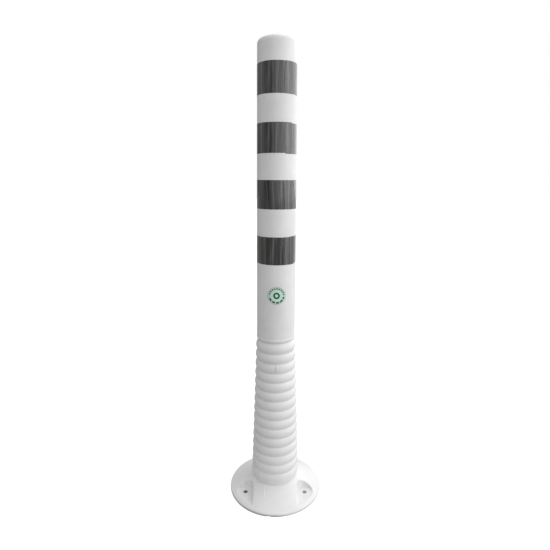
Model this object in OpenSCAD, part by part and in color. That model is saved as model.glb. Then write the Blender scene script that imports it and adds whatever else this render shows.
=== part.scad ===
// Flexible delineator post: a hollow moulded post with a corrugated neck that lets it
// bend over, a flange for three ground bolts, four reflective bands and a round label.
// The origin is the middle of the underside, +Z is up and the front faces -Y.
// A direction of 0 degrees is the front, and directions grow towards the right, +X.

/* [Post] */
// Overall height
post_h = 1000; // [900:10:1100]
// Outer diameter of the smooth tube, just under the dome
tube_top_d = 78.6; // [70:0.2:84]
// Outer diameter of the smooth tube where the corrugated neck starts
tube_foot_d = 84.4; // [80:0.2:87]
// Wall thickness of the tube and the neck
wall = 4; // [2.5:0.5:5]

/* [Dome] */
// Radius of the shoulder that turns the tube into the top
shoulder_r = 9; // [7:1:20]
// Radius of the shallow crown
crown_r = 86; // [70:2:150]
// Diameter of the round boss that the moulding leaves on the crown
boss_d = 17; // [10:1:25]
// Height of the boss over the crown
boss_h = 0.8; // [0.4:0.1:1.5]

/* [Corrugated neck] */
// Number of full rings
ring_count = 15; // [5:1:16]
// Distance from one ring to the next
ring_pitch = 22.3; // [20:0.1:24]
// Height of the lowest ring's ridge
low_ring_z = 53; // [50:1:60]
// Diameter over the top ring
top_ring_d = 88.8; // [88:0.2:96]
// Diameter over the lowest ring
low_ring_d = 110.5; // [100:0.5:114]
// Depth of the grooves between the rings
groove_depth = 3.5; // [3:0.1:4.5]
// Radius of the rounded groove bottom
groove_r = 3; // [2:0.1:4]
// Distance from the tube's foot down to the top ring
foot_drop = 20.5; // [19:0.1:22]
// Radius that rounds the tube's foot
foot_r = 6; // [4:0.5:9]
// How far the rounded foot stands out from the tube
foot_lip = 0.8; // [0.1:0.1:1.2]

/* [Flange] */
// Diameter of the flange
flange_d = 215; // [210:1:240]
// Height of the upright rim
rim_h = 7; // [5:0.5:9]
// Radius that rounds the rim's upper edge
rim_r = 2.5; // [1:0.5:4]
// Slope of the flange's cone in degrees
cone_slope = 27; // [20:1:32]
// Lean of the straight skirt under the lowest ring, in degrees
skirt_lean = 12; // [4:1:20]
// Radius that blends the skirt into the cone
skirt_fillet = 1.5; // [0.5:0.5:4]
// Thickness of the flange's shell
flange_t = 5; // [3:0.5:6]
// Thickness of the webs under the flange
web_t = 4; // [2:0.5:8]

/* [Bolt pockets] */
// Number of bolt holes
bolt_count = 3; // [3:3:6]
// Diameter of the circle through the bolt holes
bolt_circle_d = 160; // [156:1:166]
// Diameter of a bolt hole
bolt_hole_d = 10; // [6:0.5:14]
// Width of the flat-floored pocket round each hole
pocket_w = 38; // [30:1:40]
// Height of the pocket floor
pocket_floor = 10; // [7:0.5:12]

/* [Reflective bands] */
// Heights of the bands' upper edges, laid by hand and so not quite even
band_tops = [947, 835.9, 726.4, 611.8];
// Width of a band
band_w = 58; // [40:1:70]
// Thickness of the reflective sheet
band_t = 0.4; // [0.2:0.1:1]
// Length by which each band's end laps over its start
lap_w = 14; // [8:1:20]
// Directions of the lapped ends in degrees
lap_dirs = [36, 36, 74, 51];
// Lean of each lapped end in degrees
lap_leans = [0, 0, -14, 1];

/* [Label] */
// Diameter of the round label
label_d = 39; // [20:1:50]
// Height of the label's middle
label_z = 488; // [430:1:520]
// Direction of the label's middle in degrees
label_dir = 1.6; // [-20:0.2:20]
// Thickness of the label
label_t = 0.3; // [0.2:0.1:1]

/* [Marks] */
// Width of the witness line across one ring
line_w = 1; // [0.5:0.1:3]
// Depth of the witness line, from the ring's ridge
line_depth = 4; // [2:0.1:5]
// Ring that the witness line crosses, counted from the top one as 0
line_ring = 2; // [0:1:4]
// Width of the nick in the rim's lower edge
nick_w = 9; // [4:0.5:15]
// Depth of the nick, in from the rim
nick_depth = 2; // [0.5:0.5:4]
// Height of the nick, up from the ground
nick_h = 2.5; // [1:0.5:4]
// Direction of the nick in degrees
nick_dir = -7.5; // [-20:0.5:20]

/* [Hidden] */
$fn = 96;

white = [0.90, 0.91, 0.91];
band_grey = [0.36, 0.37, 0.36];
mint = [0.70, 0.88, 0.78];

// Two arcs that run into each other overlap by this much, so that they cross cleanly
bite = 0.02;
// A cutting shape runs past what it cuts by this much
past = 1;

// Dome: the middles of its two arcs, and the direction in which one runs into the other
crown_mid = [0, post_h - boss_h - crown_r];
shoulder_x = tube_top_d / 2 - shoulder_r;
shoulder_z = crown_mid.y
    + sqrt(pow(crown_r - shoulder_r + bite, 2) - pow(shoulder_x, 2));
crown_end = atan2(shoulder_z - crown_mid.y, shoulder_x);

// Neck: ring 0 is the top one
function ring_z(k) = low_ring_z + (ring_count - 1 - k) * ring_pitch;
function ring_edge(k) =
    (top_ring_d + (low_ring_d - top_ring_d) * k / (ring_count - 1)) / 2;
// Radius of a ring's arc, for which it runs into the groove's arc without a corner
ring_r = (pow(ring_pitch / 2, 2) + pow(groove_depth, 2)) / (2 * groove_depth) - groove_r;
// Arcs that stand out, from the tube's rounded foot down, each as [radius, middle]
tube_foot_z = ring_z(0) + foot_drop;
bulges = concat(
    [[foot_r, [tube_foot_d / 2 + foot_lip - foot_r, tube_foot_z]]],
    [for (k = [0 : ring_count - 1]) [ring_r, [ring_edge(k) - ring_r, ring_z(k)]]]
);
last_ring = bulges[ring_count];
// Distance from a bulge's middle to that of a groove's arc that it runs into
function reach(bulge) = bulge[0] + groove_r - bite;
// Middle of the groove's arc that touches the bulges a and, below it, b
function groove_mid(a, b) =
    let (run = b[1] - a[1], gap = norm(run), down = run / gap,
         along = (gap * gap + pow(reach(a), 2) - pow(reach(b), 2)) / (2 * gap))
    a[1] + along * down + sqrt(pow(reach(a), 2) - along * along) * [-down.y, down.x];
groove_mids = [for (k = [0 : ring_count - 1]) groove_mid(bulges[k], bulges[k + 1])];
// Point at which a bulge runs into the groove's arc round g
function run_in(bulge, g) =
    bulge[1] + (g - bulge[1]) * bulge[0] / (bulge[0] + groove_r);

// Tube: its radius at a height
tube_lean = (tube_foot_d - tube_top_d) / 2 / (shoulder_z - tube_foot_z);
function tube_r(z) = tube_top_d / 2 + (shoulder_z - z) * tube_lean;

// Flange: the cone's line runs up from the rim's arc to the skirt, which drops inwards
// from the lowest ring in a straight line
flange_r = flange_d / 2;
rim_mid = [flange_r - rim_r, rim_h - rim_r];
cone_out = [sin(cone_slope), cos(cone_slope)];
cone_foot = rim_mid + (rim_r - bite) * cone_out;
skirt_out = [cos(skirt_lean), -sin(skirt_lean)];
skirt_down = [-sin(skirt_lean), -cos(skirt_lean)];
skirt_top = last_ring[1] + (last_ring[0] - bite) * skirt_out;
fillet_top = skirt_top + (skirt_fillet - bite) * skirt_out;
fillet_run = (skirt_fillet - bite - (fillet_top - cone_foot) * cone_out)
    / (skirt_down * cone_out);
fillet_mid = fillet_top + fillet_run * skirt_down;
// Height of the cone at a radius
function cone_z(r) = cone_foot.y + (cone_foot.x - r) * tan(cone_slope);
// Height of the shell's underside at a radius
function roof_z(r) = cone_z(r) - flange_t / cos(cone_slope);

// Core: its radius at the tube's foot, and at the ground, in line with the grooves
core_neck_r = tube_foot_d / 2 - wall;
low_groove = groove_mids[ring_count - 1] - [groove_r + wall, 0];
core_lean = (low_groove.x - core_neck_r) / (tube_foot_z - low_groove.y);
core_foot_r = low_groove.x + low_groove.y * core_lean;

// Bolts: the first hole is at the back, and the others follow round the neck
bolt_r = bolt_circle_d / 2;
bolt_dirs = [for (k = [0 : bolt_count - 1]) 180 + k * 360 / bolt_count];

// Turns its children, made at the front, to a direction
module facing(dir) {
    rotate(dir) children();
}

// Half outline of the dome, or of the hollow that lies that far inside it
module dome_outline(inset = 0) {
    arc_r = crown_r - inset;
    intersection() {
        translate(crown_mid) circle(r = arc_r);
        translate(crown_mid)
            polygon([[0, 0], arc_r * [cos(crown_end), sin(crown_end)],
                     [arc_r * cos(crown_end), arc_r + past], [0, arc_r + past]]);
    }
    intersection() {
        translate([shoulder_x, shoulder_z]) circle(r = shoulder_r - inset);
        translate([0, shoulder_z]) square([tube_top_d, crown_r]);
    }
}

// Half outline of the outside, from the ground to the top
module outer_outline() {
    difference() {
        union() {
            dome_outline();
            polygon(concat(
                [[0, 0], [flange_r, 0], [flange_r, rim_mid.y], cone_foot,
                 fillet_mid - skirt_fillet * cone_out,
                 fillet_mid - skirt_fillet * skirt_out, skirt_top],
                [for (k = [ring_count - 1 : -1 : 0], j = [1, 0])
                    run_in(bulges[k + j], groove_mids[k])],
                [[tube_foot_d / 2, tube_foot_z], [tube_top_d / 2, shoulder_z],
                 [boss_d / 2, shoulder_z], [boss_d / 2, post_h], [0, post_h]]
            ));
            for (bulge = bulges) translate(bulge[1]) circle(r = bulge[0]);
            translate(rim_mid) circle(r = rim_r);
        }
        for (mid = groove_mids) translate(mid) circle(r = groove_r);
        translate(fillet_mid) circle(r = skirt_fillet);
    }
}

// Half outline of the core, open at the ground
module core_outline() {
    dome_outline(wall);
    polygon([[0, -past], [core_foot_r, -past], [core_foot_r, 0],
             [core_neck_r, tube_foot_z], [tube_top_d / 2 - wall, shoulder_z],
             [0, shoulder_z]]);
}

// Places its children at each bolt hole, with +Y the way the mould half draws off
module at_bolts() {
    for (dir = bolt_dirs)
        translate(bolt_r * [sin(dir), -cos(dir), 0])
            rotate(cos(dir) < 0 ? 0 : 180) children();
}

// Pocket shape with a round end at the bolt hole, open towards the rim
module slot(half_w, from_z, to_z) {
    translate([0, 0, from_z]) linear_extrude(to_z - from_z) {
        circle(r = half_w);
        translate([-half_w, 0]) square([2 * half_w, flange_r]);
    }
}

// Hollow under the flange, left whole under the pockets and crossed by webs
module underside() {
    inner_r = core_foot_r + wall;
    outer_r = flange_r - flange_t;
    difference() {
        rotate_extrude()
            polygon([[inner_r, -past], [outer_r, -past],
                     [outer_r, roof_z(outer_r)], [inner_r, roof_z(inner_r)]]);
        at_bolts() slot(pocket_w / 2 + flange_t, -2 * past, post_h);
        for (dir = bolt_dirs) facing(dir + 180)
            translate([-web_t / 2, -flange_r, -2 * past])
                cube([web_t, flange_r, roof_z(inner_r) + 3 * past]);
    }
}

// Ring of sheet on the tube, between two heights and from one depth to another
module sheet(low_z, high_z, from_t, to_t) {
    rotate_extrude()
        polygon([[tube_r(low_z) + from_t, low_z], [tube_r(low_z) + to_t, low_z],
                 [tube_r(high_z) + to_t, high_z], [tube_r(high_z) + from_t, high_z]]);
}

// Whole moulded post
module post_body() {
    color(white) difference() {
        rotate_extrude() outer_outline();
        rotate_extrude() core_outline();
        underside();
        at_bolts() {
            slot(pocket_w / 2, pocket_floor, low_ring_z);
            translate([0, 0, -past])
                cylinder(d = bolt_hole_d, h = pocket_floor + 2 * past);
        }
        // Witness line across one ring
        translate([-line_w / 2, -ring_edge(line_ring) - past,
                   ring_z(line_ring) - ring_pitch / 3])
            cube([line_w, line_depth + past, ring_pitch]);
        // Nick in the lower edge of the rim
        facing(nick_dir)
            translate([-nick_w / 2, -flange_r - past, -past])
                cube([nick_w, past + nick_depth, past + nick_h]);
    }
}

// Reflective band with its end lapped over its start
module reflective_band(i) {
    low_z = band_tops[i] - band_w;
    color(band_grey) {
        sheet(low_z, band_tops[i], 0, band_t);
        intersection() {
            sheet(low_z, band_tops[i], band_t / 2, 2 * band_t);
            facing(lap_dirs[i])
                translate([0, -tube_foot_d / 2, low_z + band_w / 2])
                    rotate([0, lap_leans[i], 0])
                        cube([lap_w, tube_foot_d / 2, 2 * band_w], center = true);
        }
    }
}

// Round label, wrapped on the tube
module round_label() {
    color(mint) intersection() {
        sheet(label_z - label_d, label_z + label_d, 0, label_t);
        facing(label_dir)
            translate([0, 0, label_z])
                rotate([90, 0, 0]) cylinder(d = label_d, h = tube_foot_d);
    }
}

post_body();
reflective_band(0);  // reflective_band_1
reflective_band(1);  // reflective_band_2
reflective_band(2);  // reflective_band_3
reflective_band(3);  // reflective_band_4
round_label();
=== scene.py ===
import math

import bpy
from mathutils import Matrix, Vector


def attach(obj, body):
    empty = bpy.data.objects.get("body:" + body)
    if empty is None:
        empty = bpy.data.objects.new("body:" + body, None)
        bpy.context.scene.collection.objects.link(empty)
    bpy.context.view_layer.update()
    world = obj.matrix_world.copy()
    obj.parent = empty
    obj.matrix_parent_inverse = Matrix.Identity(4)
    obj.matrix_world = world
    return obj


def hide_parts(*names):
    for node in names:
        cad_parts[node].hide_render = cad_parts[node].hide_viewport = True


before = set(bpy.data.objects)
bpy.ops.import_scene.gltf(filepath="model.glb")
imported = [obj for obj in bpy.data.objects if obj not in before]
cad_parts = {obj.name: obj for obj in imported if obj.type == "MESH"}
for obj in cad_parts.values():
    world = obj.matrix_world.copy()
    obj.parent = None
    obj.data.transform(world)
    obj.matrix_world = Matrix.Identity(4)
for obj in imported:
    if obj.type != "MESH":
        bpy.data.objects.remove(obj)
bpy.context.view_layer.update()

# ---- Camera ----
# It stands in front of the post, a little above its middle, and looks down at the flange.
CAMERA_PLACE = (0, -0.9148, 0.7293)
CAMERA_PITCH = 0.221
CAMERA_ROLL = 0.005

bpy.ops.object.select_all(action="DESELECT")
bpy.ops.object.camera_add()
camera = bpy.context.object
camera.name = "camera"
camera.data.sensor_fit = "HORIZONTAL"
camera.data.sensor_width = 36
camera.data.lens = 28.108
camera.data.shift_x = -0.00197
camera.data.clip_start = 0.01
camera.matrix_world = (Matrix.Translation(CAMERA_PLACE)
                       @ Matrix.Rotation(math.pi / 2 - CAMERA_PITCH, 4, "X")
                       @ Matrix.Rotation(CAMERA_ROLL, 4, "Z"))
bpy.context.scene.camera = camera
bpy.context.scene.view_settings.view_transform = "Standard"


# ---- Floor and studio ----
# A white floor that runs out into a white studio. What the camera sees of the floor is
# lifted to white, apart from the post's own soft shadow.
def node_material(name):
    """A new material and its empty node tree."""
    material = bpy.data.materials.new(name)
    material.use_nodes = True
    material.node_tree.nodes.clear()
    return material, material.node_tree


def add_node(tree, kind, values=None, **settings):
    """One shader node. Each value is a number, a colour or another node's output."""
    node = tree.nodes.new(kind)
    for name, value in settings.items():
        setattr(node, name, value)
    for socket, value in (values or {}).items():
        if hasattr(value, "is_output"):
            tree.links.new(value, node.inputs[socket])
        else:
            node.inputs[socket].default_value = value
    return node


FLOOR_SIZE = 30
FLOOR_WHITE = (0.43, 0.43, 0.43, 1)
FLOOR_GLOW = 0.93
FLOOR_SHADED = (0.3, 0.3, 0.3, 1)

bpy.ops.mesh.primitive_plane_add(size=FLOOR_SIZE)
floor = bpy.context.object
floor.name = "floor"
floor_paint, tree = node_material("studio_floor")
rays = add_node(tree, "ShaderNodeLightPath")
side = add_node(tree, "ShaderNodeNewGeometry")
lit = add_node(tree, "ShaderNodeBsdfDiffuse", {"Color": FLOOR_WHITE})
shaded = add_node(tree, "ShaderNodeBsdfDiffuse", {"Color": FLOOR_SHADED})
glow = add_node(tree, "ShaderNodeEmission", {"Strength": FLOOR_GLOW})
seen = add_node(tree, "ShaderNodeAddShader", {0: shaded.outputs[0], 1: glow.outputs[0]})
either = add_node(tree, "ShaderNodeMixShader",
                  {0: rays.outputs["Is Camera Ray"], 1: lit.outputs[0], 2: seen.outputs[0]})
clear = add_node(tree, "ShaderNodeBsdfTransparent")
one_sided = add_node(tree, "ShaderNodeMixShader",
                     {0: side.outputs["Backfacing"], 1: either.outputs[0], 2: clear.outputs[0]})
add_node(tree, "ShaderNodeOutputMaterial", {"Surface": one_sided.outputs[0]})
floor.data.materials.append(floor_paint)

# How bright the studio's walls are in each direction round the post, 0 being the front and
# 90 the right. They are pale on the right and dark on the left, apart from a lighter part.
WALLS = ((-180, 0.55), (-150, 0.08), (-122, 0.12), (-102, 0.4), (-76, 0.4), (-72, 0.1),
         (-30, 0.12), (-20, 0.68), (0, 0.85), (28, 1), (60, 0.85), (120, 0.9), (180, 0.55))
CEILING = (0.6, 0.6, 0.6, 1)
ROOM = 1.24

world = bpy.data.worlds.new("studio")
bpy.context.scene.world = world
world.use_nodes = True
tree = world.node_tree
tree.nodes.clear()
towards = add_node(tree, "ShaderNodeSeparateXYZ",
                   {0: add_node(tree, "ShaderNodeTexCoord").outputs["Generated"]}).outputs
backwards = add_node(tree, "ShaderNodeMath", {0: towards["Y"], 1: -1}, operation="MULTIPLY")
turn = add_node(tree, "ShaderNodeMath", {0: towards["X"], 1: backwards.outputs[0]},
                operation="ARCTAN2")
share = add_node(tree, "ShaderNodeMapRange", {"Value": turn.outputs[0], "From Min": -math.pi,
                                              "From Max": math.pi})
walls = add_node(tree, "ShaderNodeValToRGB", {0: share.outputs[0]})
stops = walls.color_ramp.elements
for direction, _ in WALLS[1:-1]:
    stops.new((direction + 180) / 360)
for stop, (_, brightness) in zip(stops, WALLS):
    stop.color = (brightness, brightness, brightness, 1)
room = add_node(tree, "ShaderNodeMix", {0: towards["Z"], 6: walls.outputs[0], 7: CEILING},
                data_type="RGBA")
rays = add_node(tree, "ShaderNodeLightPath")
soft = add_node(tree, "ShaderNodeBackground", {"Color": room.outputs[2], "Strength": ROOM})
white = add_node(tree, "ShaderNodeBackground", {"Color": (1, 1, 1, 1)})
either = add_node(tree, "ShaderNodeMixShader",
                  {0: rays.outputs["Is Camera Ray"], 1: soft.outputs[0], 2: white.outputs[0]})
add_node(tree, "ShaderNodeOutputWorld", {"Surface": either.outputs[0]})


LAMP_AIM = Vector((0, 0, 0.45))


def soft_box(name, direction, height, distance, size, power):
    """A soft box that faces the middle of the post. Direction 0 is the front, 90 the right."""
    angle = math.radians(direction)
    place = Vector((distance * math.sin(angle), -distance * math.cos(angle), height))
    bpy.ops.object.light_add(type="AREA", location=place)
    lamp = bpy.context.object
    lamp.name = name
    lamp.data.shape = "RECTANGLE"
    lamp.data.size, lamp.data.size_y = size
    lamp.data.energy = power
    lamp.rotation_euler = (place - LAMP_AIM).to_track_quat("Z", "Y").to_euler()


soft_box("right_front_box", 66, 1.1, 1.8, (1.2, 2.2), 9.6)
soft_box("right_box", 102, 1.1, 1.8, (1.2, 2.2), 4.5)
soft_box("right_back_box", 138, 1.1, 1.8, (1.2, 2.2), 6)
soft_box("top_box", 150, 2.2, 0.7, (1, 1), 5)


# ---- Moulded post ----
# One hollow moulding in white polyurethane: a drafted tube with a domed top, a neck of
# fifteen rings that lets it bend, and a shelled flange with three pockets for ground bolts.
POST_H = 1.0
TUBE_TOP_R, TUBE_FOOT_R = 0.0393, 0.0422
WALL, CORE_CHAMFER = 0.004, 0.0006
SHOULDER_R, CROWN_R = 0.009, 0.086
BOSS_R, BOSS_H, BOSS_ROUND = 0.0085, 0.0008, 0.0006
RING_COUNT, RING_PITCH, LOW_RING_Z = 15, 0.0223, 0.053
TOP_RING_R, LOW_RING_R = 0.0444, 0.05525
GROOVE_DEPTH, GROOVE_R = 0.0035, 0.003
FOOT_DROP, FOOT_R, FOOT_LIP = 0.0205, 0.006, 0.0008
FLANGE_R, RIM_H, RIM_R, RIM_FOOT_R = 0.1075, 0.0078, 0.0045, 0.001
CONE_SLOPE = math.radians(27)
SKIRT_LEAN, SKIRT_FILLET = math.radians(12), 0.0015
TURN_STEPS = 192

# The outline is a run of arcs: the rings and the tube's rounded foot stand out, each with
# its radius and middle, and a groove's arc runs into the two that it lies between
ring_r = ((RING_PITCH / 2) ** 2 + GROOVE_DEPTH ** 2) / (2 * GROOVE_DEPTH) - GROOVE_R
tube_foot_z = LOW_RING_Z + (RING_COUNT - 1) * RING_PITCH + FOOT_DROP
bulges = [(FOOT_R, Vector((TUBE_FOOT_R + FOOT_LIP - FOOT_R, 0, tube_foot_z)))]
for k in range(RING_COUNT):
    ring_edge = TOP_RING_R + (LOW_RING_R - TOP_RING_R) * k / (RING_COUNT - 1)
    ring_z = LOW_RING_Z + (RING_COUNT - 1 - k) * RING_PITCH
    bulges.append((ring_r, Vector((ring_edge - ring_r, 0, ring_z))))


def groove_middle(upper, lower):
    """The middle of a groove's arc, placed so that the arc runs into both bulges."""
    (upper_r, upper_middle), (lower_r, lower_middle) = upper, lower
    run = lower_middle - upper_middle
    gap, down = run.length, run.normalized()
    along = (gap ** 2 + (upper_r + GROOVE_R) ** 2 - (lower_r + GROOVE_R) ** 2) / (2 * gap)
    out = Vector((-down.z, 0, down.x))
    return upper_middle + along * down + math.sqrt((upper_r + GROOVE_R) ** 2 - along ** 2) * out


groove_middles = [groove_middle(a, b) for a, b in zip(bulges, bulges[1:])]
crown_middle = Vector((0, 0, POST_H - BOSS_H - CROWN_R))
shoulder_x = TUBE_TOP_R - SHOULDER_R
shoulder_z = crown_middle.z + math.sqrt((CROWN_R - SHOULDER_R) ** 2 - shoulder_x ** 2)
shoulder_middle = Vector((shoulder_x, 0, shoulder_z))
rim_middle = Vector((FLANGE_R - RIM_R, 0, RIM_H - RIM_R))
cone_out = Vector((math.sin(CONE_SLOPE), 0, math.cos(CONE_SLOPE)))
cone_foot = rim_middle + RIM_R * cone_out
last_ring = bulges[-1][1]


def cone_z(r):
    """Height of the flange's cone at a radius."""
    return cone_foot.z + (cone_foot.x - r) * math.tan(CONE_SLOPE)


# A straight skirt drops inwards from the lowest ring to the cone, and blends into it
skirt_out = Vector((math.cos(SKIRT_LEAN), 0, -math.sin(SKIRT_LEAN)))
skirt_down = Vector((-math.sin(SKIRT_LEAN), 0, -math.cos(SKIRT_LEAN)))
skirt_top = last_ring + ring_r * skirt_out
fillet_top = skirt_top + SKIRT_FILLET * skirt_out
fillet_run = ((SKIRT_FILLET - (fillet_top - cone_foot).dot(cone_out))
              / skirt_down.dot(cone_out))
fillet_middle = fillet_top + fillet_run * skirt_down


# The end of the outline that is being drawn, and how near two corners count as one
outline_end = Vector((0, 0, 0))
SAME_PLACE = 1e-6


def start_outline(name, place):
    """A mesh object in edit mode, with one selected vertex to extrude from."""
    bpy.ops.object.select_all(action="DESELECT")
    bpy.ops.mesh.primitive_plane_add(size=0.01, location=place)
    piece = bpy.context.object
    piece.name = name
    bpy.ops.object.transform_apply(location=True)
    bpy.ops.object.mode_set(mode="EDIT")
    bpy.ops.mesh.merge(type="CENTER")
    outline_end[:] = place
    return piece


def line_to(place, steps=1):
    """Draws the last vertex out in a straight line."""
    step = (Vector(place) - outline_end) / steps
    for _ in range(steps):
        bpy.ops.mesh.extrude_region_move(TRANSFORM_OT_translate={"value": step})
    outline_end[:] = place


def arc_to(middle, place, steps):
    """Spins the last vertex about a middle to a place, the short way round."""
    a, b = outline_end - middle, Vector(place) - middle
    angle = math.atan2(a.z * b.x - a.x * b.z, a.dot(b))
    bpy.ops.mesh.spin(steps=steps, angle=angle, center=middle, axis=(0, -1, 0))
    outline_end[:] = place


def turn_outline():
    """Turns the outline about the post's middle line into a closed skin."""
    bpy.ops.mesh.select_all(action="SELECT")
    bpy.ops.mesh.spin(steps=TURN_STEPS, angle=2 * math.pi, center=(0, 0, 0), axis=(0, 0, 1))
    bpy.ops.mesh.select_all(action="SELECT")
    bpy.ops.mesh.remove_doubles(threshold=SAME_PLACE)
    bpy.ops.mesh.normals_make_consistent(inside=False)
    bpy.ops.object.mode_set(mode="OBJECT")


def between(a, b, share):
    return a + (b - a) * share


low_groove = groove_middles[-1] - Vector((GROOVE_R + WALL, 0, 0))
tube_foot = Vector((TUBE_FOOT_R - WALL, 0, tube_foot_z))
core_lean = (low_groove.x - tube_foot.x) / (tube_foot.z - low_groove.z)
core_foot_r = low_groove.x + low_groove.z * core_lean


def run_in(bulge, groove):
    """The point at which a bulge runs into a groove's arc."""
    return between(bulge[1], groove, bulge[0] / (bulge[0] + GROOVE_R))


# The tube's line meets its rounded foot where the foot's arc comes out of it
foot_rise = math.sqrt(FOOT_R ** 2 - (FOOT_R - FOOT_LIP) ** 2)
foot_start = (TUBE_FOOT_R, 0, tube_foot_z + foot_rise)

boss_corner = POST_H - BOSS_ROUND
boss_foot = crown_middle.z + math.sqrt(CROWN_R ** 2 - BOSS_R ** 2)
crown_end = crown_middle + (shoulder_middle - crown_middle).normalized() * CROWN_R

post = start_outline("post_moulding", (0, 0, POST_H))
line_to((BOSS_R - BOSS_ROUND, 0, POST_H), 3)
arc_to(Vector((BOSS_R - BOSS_ROUND, 0, boss_corner)), (BOSS_R, 0, boss_corner), 3)
line_to((BOSS_R, 0, boss_foot))
arc_to(crown_middle, crown_end, 8)
arc_to(shoulder_middle, (TUBE_TOP_R, 0, shoulder_z), 10)
line_to(foot_start, 24)
arc_to(bulges[0][1], bulges[0][1] + Vector((FOOT_R, 0, 0)), 3)
for upper, groove, lower in zip(bulges, groove_middles, bulges[1:]):
    arc_to(upper[1], run_in(upper, groove), 5)
    arc_to(groove, run_in(lower, groove), 6)
    arc_to(lower[1], lower[1] + Vector((lower[0], 0, 0)), 5)
arc_to(last_ring, skirt_top, 2)
line_to(fillet_middle - SKIRT_FILLET * skirt_out, 3)
arc_to(fillet_middle, fillet_middle - SKIRT_FILLET * cone_out, 5)
line_to(cone_foot, 3)
arc_to(rim_middle, (FLANGE_R, 0, rim_middle.z), 6)
line_to((FLANGE_R, 0, RIM_FOOT_R))
arc_to(Vector((FLANGE_R - RIM_FOOT_R, 0, RIM_FOOT_R)), (FLANGE_R - RIM_FOOT_R, 0, 0), 3)
line_to((core_foot_r + CORE_CHAMFER, 0, 0))
line_to((core_foot_r, 0, CORE_CHAMFER))
line_to(tube_foot, 6)
line_to((TUBE_TOP_R - WALL, 0, shoulder_z), 6)
arc_to(shoulder_middle, between(shoulder_middle, crown_end, 1 - WALL / SHOULDER_R), 6)
arc_to(crown_middle, (0, 0, POST_H - WALL), 5)
turn_outline()

BOLT_CIRCLE_R, BOLT_HOLE_R = 0.08, 0.005
POCKET_HALF_W, POCKET_FLOOR, POCKET_FILLET = 0.019, 0.01, 0.0018
FLANGE_T, WEB_T = 0.005, 0.004
SLOT_TOP, BELOW = LOW_RING_Z, -0.01
NEAR = 0.0001
bolts = []
for turn in (180, -60, 60):
    angle = math.radians(turn)
    place = Vector((BOLT_CIRCLE_R * math.sin(angle), -BOLT_CIRCLE_R * math.cos(angle), 0))
    bolts.append((place, 1 if place.y > 0 else -1, angle))


def select_where(piece, test):
    """Leaves selected, in edit mode, just the vertices that the test picks."""
    bpy.ops.mesh.select_mode(type="VERT")
    bpy.ops.mesh.select_all(action="DESELECT")
    bpy.ops.object.mode_set(mode="OBJECT")
    for corner in piece.data.vertices:
        corner.select = test(corner.co)
    bpy.ops.object.mode_set(mode="EDIT")


def slot_shape(place, opening, half_w, low, high, fillet=0):
    """A drum round a bolt hole, with the half towards the rim drawn out past the rim."""
    bpy.ops.object.select_all(action="DESELECT")
    bpy.ops.mesh.primitive_cylinder_add(
        vertices=96, radius=half_w, depth=high - low,
        location=(place.x, place.y, (low + high) / 2))
    slot = bpy.context.object
    bpy.ops.object.transform_apply(location=True)
    bpy.ops.object.mode_set(mode="EDIT")
    select_where(slot, lambda co: (co.y - place.y) * opening > NEAR)
    bpy.ops.transform.translate(value=(0, opening * FLANGE_R, 0))
    if fillet:
        select_where(slot, lambda co: co.z < low + NEAR)
        bpy.ops.mesh.bevel(offset=fillet, segments=5, affect="EDGES", clamp_overlap=False)
    bpy.ops.object.mode_set(mode="OBJECT")
    return slot


def cut(piece, cutter, operation="DIFFERENCE"):
    """Applies one boolean and throws the cutter away."""
    bpy.ops.object.select_all(action="DESELECT")
    bpy.context.view_layer.objects.active = piece
    piece.select_set(True)
    boolean = piece.modifiers.new("cut", "BOOLEAN")
    boolean.object = cutter
    boolean.operation = operation
    boolean.solver = "MANIFOLD"
    bpy.ops.object.modifier_apply(modifier=boolean.name)
    bpy.data.objects.remove(cutter)


def block(low, high, turn=0):
    """A box between two corners, turned about the post's middle line."""
    low, high = Vector(low), Vector(high)
    bpy.ops.object.select_all(action="DESELECT")
    bpy.ops.mesh.primitive_cube_add(size=1, location=(low + high) / 2)
    box = bpy.context.object
    box.scale = high - low
    bpy.ops.object.transform_apply()
    box.rotation_euler = (0, 0, turn)
    bpy.ops.object.transform_apply()
    return box


def roof_z(r):
    """Height of the hollow's roof at a radius, one wall under the cone."""
    return cone_z(r) - FLANGE_T / math.cos(CONE_SLOPE)


# The hollow under the flange, left whole under the pockets and crossed by three webs
hollow_in, hollow_out = core_foot_r + WALL, FLANGE_R - FLANGE_T
hollow = start_outline("hollow", (hollow_in, 0, BELOW))
line_to((hollow_in, 0, roof_z(hollow_in)))
line_to((hollow_out, 0, roof_z(hollow_out)))
line_to((hollow_out, 0, BELOW))
line_to((hollow_in, 0, BELOW))
turn_outline()
for place, opening, angle in bolts:
    cut(hollow, slot_shape(place, opening, POCKET_HALF_W + FLANGE_T, 2 * BELOW, SLOT_TOP))
    cut(hollow, block((-WEB_T / 2, 0, -SLOT_TOP), (WEB_T / 2, FLANGE_R, SLOT_TOP), angle))
cut(post, hollow)

for place, opening, _ in bolts:
    cut(post, slot_shape(place, opening, POCKET_HALF_W, POCKET_FLOOR, SLOT_TOP, POCKET_FILLET))
    bpy.ops.mesh.primitive_cylinder_add(
        vertices=48, radius=BOLT_HOLE_R, depth=2 * SLOT_TOP, location=place)
    bpy.ops.object.transform_apply()
    cut(post, bpy.context.object)

# The pockets' mouths and the bolt holes' rims are rounded, once corners that lie a hair
# apart are joined. A mouth stays as cut at its ends, where its wall is next to nothing.
EDGE_R, SHARP = 0.0006, math.radians(20)


def is_rim(co):
    """Whether a point lies on a pocket's mouth or on a bolt hole's upper rim."""
    on_cone = abs(co.z - cone_z(math.hypot(co.x, co.y))) < 5 * NEAR
    to_bolt = min(math.hypot(co.x - place.x, co.y - place.y) for place, _, _ in bolts)
    return (on_cone and co.z > POCKET_FLOOR + 2 * EDGE_R
            or co.z > POCKET_FLOOR - NEAR and to_bolt < 1.1 * BOLT_HOLE_R)


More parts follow.
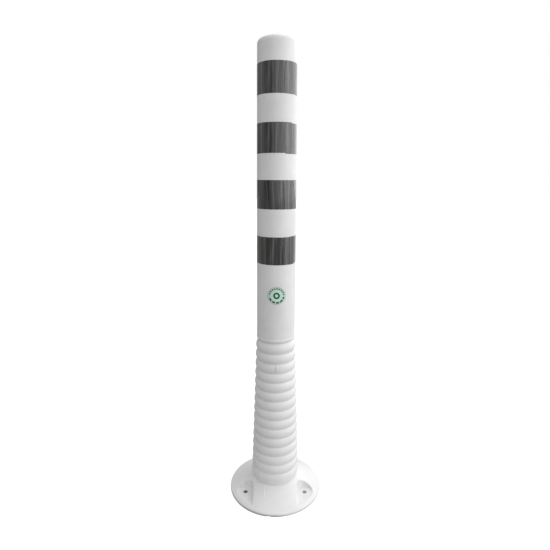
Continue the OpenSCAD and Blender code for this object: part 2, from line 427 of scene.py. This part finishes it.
bpy.ops.object.select_all(action="DESELECT")
bpy.context.view_layer.objects.active = post
post.select_set(True)
bpy.ops.object.mode_set(mode="EDIT")
select_where(post, lambda co: POCKET_FLOOR - NEAR < co.z < cone_z(hollow_in) + NEAR
             and math.hypot(co.x, co.y) > hollow_in)
bpy.ops.mesh.remove_doubles(threshold=NEAR)
bpy.ops.mesh.select_mode(type="EDGE")
bpy.ops.mesh.select_all(action="DESELECT")
bpy.ops.mesh.edges_select_sharp(sharpness=SHARP)
bpy.ops.object.mode_set(mode="OBJECT")
corners = post.data.vertices
for edge in post.data.edges:
    one, other = (corners[index].co for index in edge.vertices)
    edge.select = edge.select and is_rim((one + other) / 2)
bpy.ops.object.mode_set(mode="EDIT")
bpy.ops.mesh.bevel(offset=EDGE_R, segments=2, affect="EDGES", clamp_overlap=False,
                   loop_slide=False)
bpy.ops.object.mode_set(mode="OBJECT")

# Small marks of use and moulding: a witness line across the third ring, and a nick in the
# rim's lower edge
LINE_W, LINE_DEPTH, LINE_RING = 0.001, 0.004, 2
NICK_W, NICK_DEPTH, NICK_H = 0.009, 0.002, 0.0025
NICK_DIRECTION = math.radians(-7.5)
CLEAR = 0.001

line_ring_r, line_ring_middle = bulges[LINE_RING + 1]
line_front, line_z = -line_ring_middle.x - line_ring_r, line_ring_middle.z
cut(post, block((-LINE_W / 2, line_front - CLEAR, line_z - RING_PITCH / 3),
                (LINE_W / 2, line_front + LINE_DEPTH, line_z + RING_PITCH * 2 / 3)))
cut(post, block((-NICK_W / 2, -FLANGE_R - CLEAR, BELOW),
                (NICK_W / 2, -FLANGE_R + NICK_DEPTH, NICK_H), NICK_DIRECTION))

# Two fine creases stand out at the left of the neck's foot, one on the lowest ring and one
# that runs down the cone. Each is a list of directions, radii and heights.
CREASE_R = 0.0012
CREASES = (((-37.5, 0.0535, 0.0605), (-37, 0.0552, 0.055), (-36.5, 0.0552, 0.050),
            (-36, 0.0540, 0.0455), (-35.5, 0.0530, 0.041)),
           ((-28, 0.0560, 0.0320), (-25.5, 0.0610, 0.0296), (-22.5, 0.0670, 0.0265),
            (-20.5, 0.0720, 0.0240), (-19.5, 0.0780, 0.0206)))
for points in CREASES:
    bpy.ops.object.select_all(action="DESELECT")
    bpy.ops.curve.primitive_nurbs_path_add()
    crease = bpy.context.object
    for handle, (direction, r, z) in zip(crease.data.splines[0].points, points):
        angle = math.radians(direction)
        handle.co = (r * math.sin(angle), -r * math.cos(angle), z, 1)
    crease.data.bevel_depth = CREASE_R
    crease.data.use_fill_caps = True
    bpy.ops.object.convert(target="MESH")
    bpy.ops.object.mode_set(mode="EDIT")
    bpy.ops.mesh.select_all(action="SELECT")
    bpy.ops.mesh.remove_doubles(threshold=SAME_PLACE)
    bpy.ops.mesh.normals_make_consistent(inside=False)
    bpy.ops.object.mode_set(mode="OBJECT")
    cut(post, crease, "UNION")

# The large faces set the shading, so that the flats stay flat up to a rounded edge
bpy.ops.object.shade_smooth_by_angle(angle=math.radians(24))
shading = post.modifiers.new("shading", "WEIGHTED_NORMAL")
shading.keep_sharp = True
bpy.ops.object.modifier_apply(modifier=shading.name)


def mix_colours(tree, share, first, second):
    return add_node(tree, "ShaderNodeMix", {0: share, 6: first, 7: second},
                    data_type="RGBA").outputs[2]


def stretch(tree, value, low, high, to_low=0, to_high=1):
    """A value that runs evenly from one limit to another while its source does."""
    return add_node(tree, "ShaderNodeMapRange",
                    {"Value": value, "From Min": low, "From Max": high,
                     "To Min": to_low, "To Max": to_high}).outputs[0]


def sum_of(tree, operation, *values):
    """One step of arithmetic."""
    return add_node(tree, "ShaderNodeMath", dict(enumerate(values)),
                    operation=operation).outputs[0]


def radius_of(tree, first, second):
    """How far a point lies from the middle, from two of its coordinates."""
    squares = [sum_of(tree, "MULTIPLY", value, value) for value in (first, second)]
    return sum_of(tree, "SQRT", sum_of(tree, "ADD", *squares))


def finish_paint(tree, **sockets):
    """The shader and the output. Underscores stand for the spaces in a socket's name."""
    shader = add_node(tree, "ShaderNodeBsdfPrincipled",
                      {name.replace("_", " "): value for name, value in sockets.items()})
    add_node(tree, "ShaderNodeOutputMaterial", {"Surface": shader.outputs[0]})


POST_WHITE, POST_SHADE = (0.84, 0.845, 0.84, 1), (0.78, 0.785, 0.78, 1)
# The dark grey of the painted shade in the bolt holes and at the rim's foot
PAINTED_SHADE = (0.16, 0.16, 0.155, 1)
# How strong the painted shade is in the bolt holes and at the rim's foot, and what is left of it
# on the right, the lit side. In the holes it lies in three directions, where the cosine of three
# times the direction is near -1.
HOLE_SHADE, RIM_FOOT_SHADE, RIGHT_SHADE_LEFT = 0.6, 0.85, 0.25
NEXT_TO_BOLTS = (-0.97, -0.975)

white_plastic, tree = node_material("white_polyurethane")
spot = add_node(tree, "ShaderNodeTexCoord").outputs["Object"]
clouds = add_node(tree, "ShaderNodeTexNoise",
                  {"Vector": spot, "Scale": 14, "Detail": 6, "Roughness": 0.6})
grain = add_node(tree, "ShaderNodeTexNoise",
                 {"Vector": spot, "Scale": 380, "Detail": 3, "Roughness": 0.55})
skin = mix_colours(tree, stretch(tree, clouds.outputs["Fac"], 0.35, 0.65),
                   POST_WHITE, POST_SHADE)
# Painted shade darkens the bolt holes and the rim's foot, mostly on the left, away from the lamps
across, deep, up = add_node(tree, "ShaderNodeSeparateXYZ", {0: spot}).outputs
from_middle = radius_of(tree, across, deep)
direction = sum_of(tree, "ARCTAN2", across, sum_of(tree, "MULTIPLY", deep, -1))
by_bolts = stretch(tree, sum_of(tree, "COSINE", sum_of(tree, "MULTIPLY", direction, len(bolts))),
                   *NEXT_TO_BOLTS)
off_circle = sum_of(tree, "ABSOLUTE", sum_of(tree, "SUBTRACT", from_middle, BOLT_CIRCLE_R))
shade_in_holes = sum_of(tree, "MULTIPLY", by_bolts,
                  sum_of(tree, "LESS_THAN", off_circle, 1.08 * BOLT_HOLE_R))
shade_in_holes = sum_of(tree, "MULTIPLY", shade_in_holes,
                  stretch(tree, up, POCKET_FLOOR - 8 * NEAR, POCKET_FLOOR - NEAR, HOLE_SHADE, 0))
shade_on_rim = sum_of(tree, "MULTIPLY", stretch(tree, from_middle, FLANGE_R - 0.003, FLANGE_R - 0.001),
                stretch(tree, up, 0.0005, 0.006, RIM_FOOT_SHADE, 0))
shade_mask = sum_of(tree, "MULTIPLY", sum_of(tree, "ADD", shade_in_holes, shade_on_rim),
               stretch(tree, across, 0, 0.03, 1, RIGHT_SHADE_LEFT))
# The painted shade is laid over the plastic's own tone
skin = mix_colours(tree, shade_mask, skin, PAINTED_SHADE)
gloss = stretch(tree, clouds.outputs["Fac"], 0.3, 0.7, 0.36, 0.48)
relief = add_node(tree, "ShaderNodeBump",
                  {"Strength": 0.12, "Distance": 0.0004, "Height": grain.outputs["Fac"]})
finish_paint(tree, Base_Color=skin, Roughness=gloss, Normal=relief.outputs[0])
post.data.materials.clear()
post.data.materials.append(white_plastic)

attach(post, "root")
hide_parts("post_body")

# ---- Reflective bands ----
# Four strips of reflective sheet, each cut to length, wrapped round the tube by hand and
# lapped over its own start at the front right. They aren't quite level, nor cut quite square.
FILM_W, FILM_T, LAP, LAP_GAP = 0.058, 0.0003, 0.014, 0.000012
FILM_ACROSS, FILM_ALONG = 10, 240
# An end starts to climb this far short of the band's start, and is up after this run
CLIMB_LEAD, CLIMB_RUN = 0.006, 0.004
# For each band: height of the upper edge, direction of the cut end, lean of the cut, and
# how far the end lies above the start
BANDS = ((0.947, 26, 0, 0.0004), (0.8359, 26, 0, -0.0015), (0.7264, 64, 14, 0.0005),
         (0.6118, 41, -1, 0.0008))


def tube_r(z):
    """Radius of the tube at a height."""
    return TUBE_TOP_R + (TUBE_FOOT_R - TUBE_TOP_R) * (shoulder_z - z) / (shoulder_z - tube_foot.z)


def wrap_film(name, node, top, end_direction, lean, drift):
    """Wraps a flat strip round the tube, from under its own end and back over its start."""
    low = top - FILM_W
    middle_r = tube_r(low + FILM_W / 2)
    round_tube = 2 * math.pi * middle_r
    length = round_tube + LAP
    bpy.ops.object.select_all(action="DESELECT")
    bpy.ops.mesh.primitive_grid_add(
        x_subdivisions=FILM_ALONG, y_subdivisions=FILM_ACROSS, size=1)
    film = bpy.context.object
    film.name = name
    for corner in film.data.vertices:
        along, up = (corner.co.x + 0.5) * length, (corner.co.y + 0.5) * FILM_W
        past_start = along - round_tube
        along += (up - FILM_W / 2) * math.tan(math.radians(lean)) * (along / length)
        angle = math.radians(end_direction) + (length - along) / middle_r
        rise = min(max((past_start + CLIMB_LEAD) / CLIMB_RUN, 0), 1)
        rise = rise * rise * (3 - 2 * rise)
        z = low + up + drift * (along / length - 0.5)
        r = tube_r(z) + FILM_T * (0.5 + rise)
        corner.co = (r * math.sin(angle), -r * math.cos(angle), z)
    thickness = film.modifiers.new("thickness", "SOLIDIFY")
    thickness.thickness = FILM_T - LAP_GAP
    thickness.offset = 0
    bpy.ops.object.modifier_apply(modifier=thickness.name)
    bpy.ops.object.shade_smooth_by_angle(angle=math.radians(40))
    film.data.materials.append(grey_film)
    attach(film, "root")
    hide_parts(node)


FILM_DARK, FILM_LIGHT = (0.004, 0.0042, 0.0033, 1), (0.12, 0.121, 0.115, 1)
STREAK_SCALE = (46, 0.35, 1)

grey_film, tree = node_material("grey_reflective_sheet")
sheet_spot = add_node(tree, "ShaderNodeTexCoord").outputs["UV"]
streak_spot = add_node(tree, "ShaderNodeMapping", {"Vector": sheet_spot, "Scale": STREAK_SCALE})
streaks = add_node(tree, "ShaderNodeTexNoise",
                   {"Vector": streak_spot.outputs[0], "Scale": 1, "Detail": 2, "Roughness": 0.65})
film_colour = mix_colours(tree, stretch(tree, streaks.outputs["Fac"], 0.47, 0.7),
                          FILM_DARK, FILM_LIGHT)
film_relief = add_node(tree, "ShaderNodeBump",
                       {"Strength": 0.9, "Distance": 0.0015, "Height": streaks.outputs["Fac"]})
finish_paint(tree, Base_Color=film_colour, Roughness=0.24, Specular_IOR_Level=0.9,
             Coat_Weight=0.6, Coat_Roughness=0.06, Normal=film_relief.outputs[0])

for number, band in enumerate(BANDS, 1):
    wrap_film(f"film_band_{number}", f"reflective_band_{number}", *band)


# ---- Round label ----
# A printed paper disc stuck on the front of the tube, mint with dark green rings. The print
# is plain: an outline, a row of dashes round the top, blocks round the foot and a ring.
LABEL_MIDDLE = (0.0012, 0, 0.488)
MINT, PALE_MINT = (0.60, 0.86, 0.71, 1), (0.58, 0.72, 0.65, 1)
DARK_GREEN, GREY_GREEN = (0.006, 0.075, 0.032, 1), (0.06, 0.12, 0.09, 1)
OUTLINE = (0.40, 0.50, 0.45, 1)
# The inner and outer radius of each ring of print, and how many dashes or blocks go round
OUTLINE_RING, DASH_RING = (0.0187, 0.0200), (0.0135, 0.0168)
BLOCK_RING, MIDDLE_RING = (0.0136, 0.0170), (0.0034, 0.0071)
PALE_EDGE, INK_EDGE = (0.0128, 0.0131), 0.0001
DASHES, BLOCKS = 19, 11

label_paper, tree = node_material("printed_label")
label_spot = add_node(tree, "ShaderNodeMapping",
                      {"Vector": add_node(tree, "ShaderNodeTexCoord").outputs["Object"],
                       "Location": [-value for value in LABEL_MIDDLE]})
flat = add_node(tree, "ShaderNodeSeparateXYZ", {0: label_spot.outputs[0]})
across, up = flat.outputs["X"], flat.outputs["Z"]
radius = radius_of(tree, across, up)
turn = sum_of(tree, "ARCTAN2", across, up)


def ring_mask(inner, outer):
    """1 between two radii, with a soft printed edge."""
    middle, half = (inner + outer) / 2, (outer - inner) / 2
    gap = sum_of(tree, "ABSOLUTE", sum_of(tree, "SUBTRACT", radius, middle))
    return stretch(tree, gap, half - INK_EDGE, half + INK_EDGE, 1, 0)


def wave(count):
    """Runs between -1 and 1, a number of times round the label."""
    return sum_of(tree, "SINE", sum_of(tree, "MULTIPLY", turn, count))


dashes = stretch(tree, wave(DASHES), -0.5, -0.1)
blocks = stretch(tree, wave(BLOCKS), -0.8, -0.5)
upper = stretch(tree, sum_of(tree, "ABSOLUTE", turn), 1.5, 1.55, 1, 0)
lower = stretch(tree, sum_of(tree, "ABSOLUTE", turn), 1.75, 1.8, 0, 1)
print_top = sum_of(tree, "MULTIPLY", sum_of(tree, "MULTIPLY", dashes, upper),
                   ring_mask(*DASH_RING))
print_foot = sum_of(tree, "MULTIPLY", sum_of(tree, "MULTIPLY", blocks, lower),
                    ring_mask(*BLOCK_RING))
ink = sum_of(tree, "MAXIMUM", print_foot, ring_mask(*MIDDLE_RING))
paper = mix_colours(tree, stretch(tree, radius, *PALE_EDGE), MINT, PALE_MINT)
paper = mix_colours(tree, ring_mask(*OUTLINE_RING), paper, OUTLINE)
paper = mix_colours(tree, print_top, paper, GREY_GREEN)
finish_paint(tree, Base_Color=mix_colours(tree, ink, paper, DARK_GREEN), Roughness=0.45)
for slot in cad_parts["round_label"].material_slots:
    slot.material = label_paper
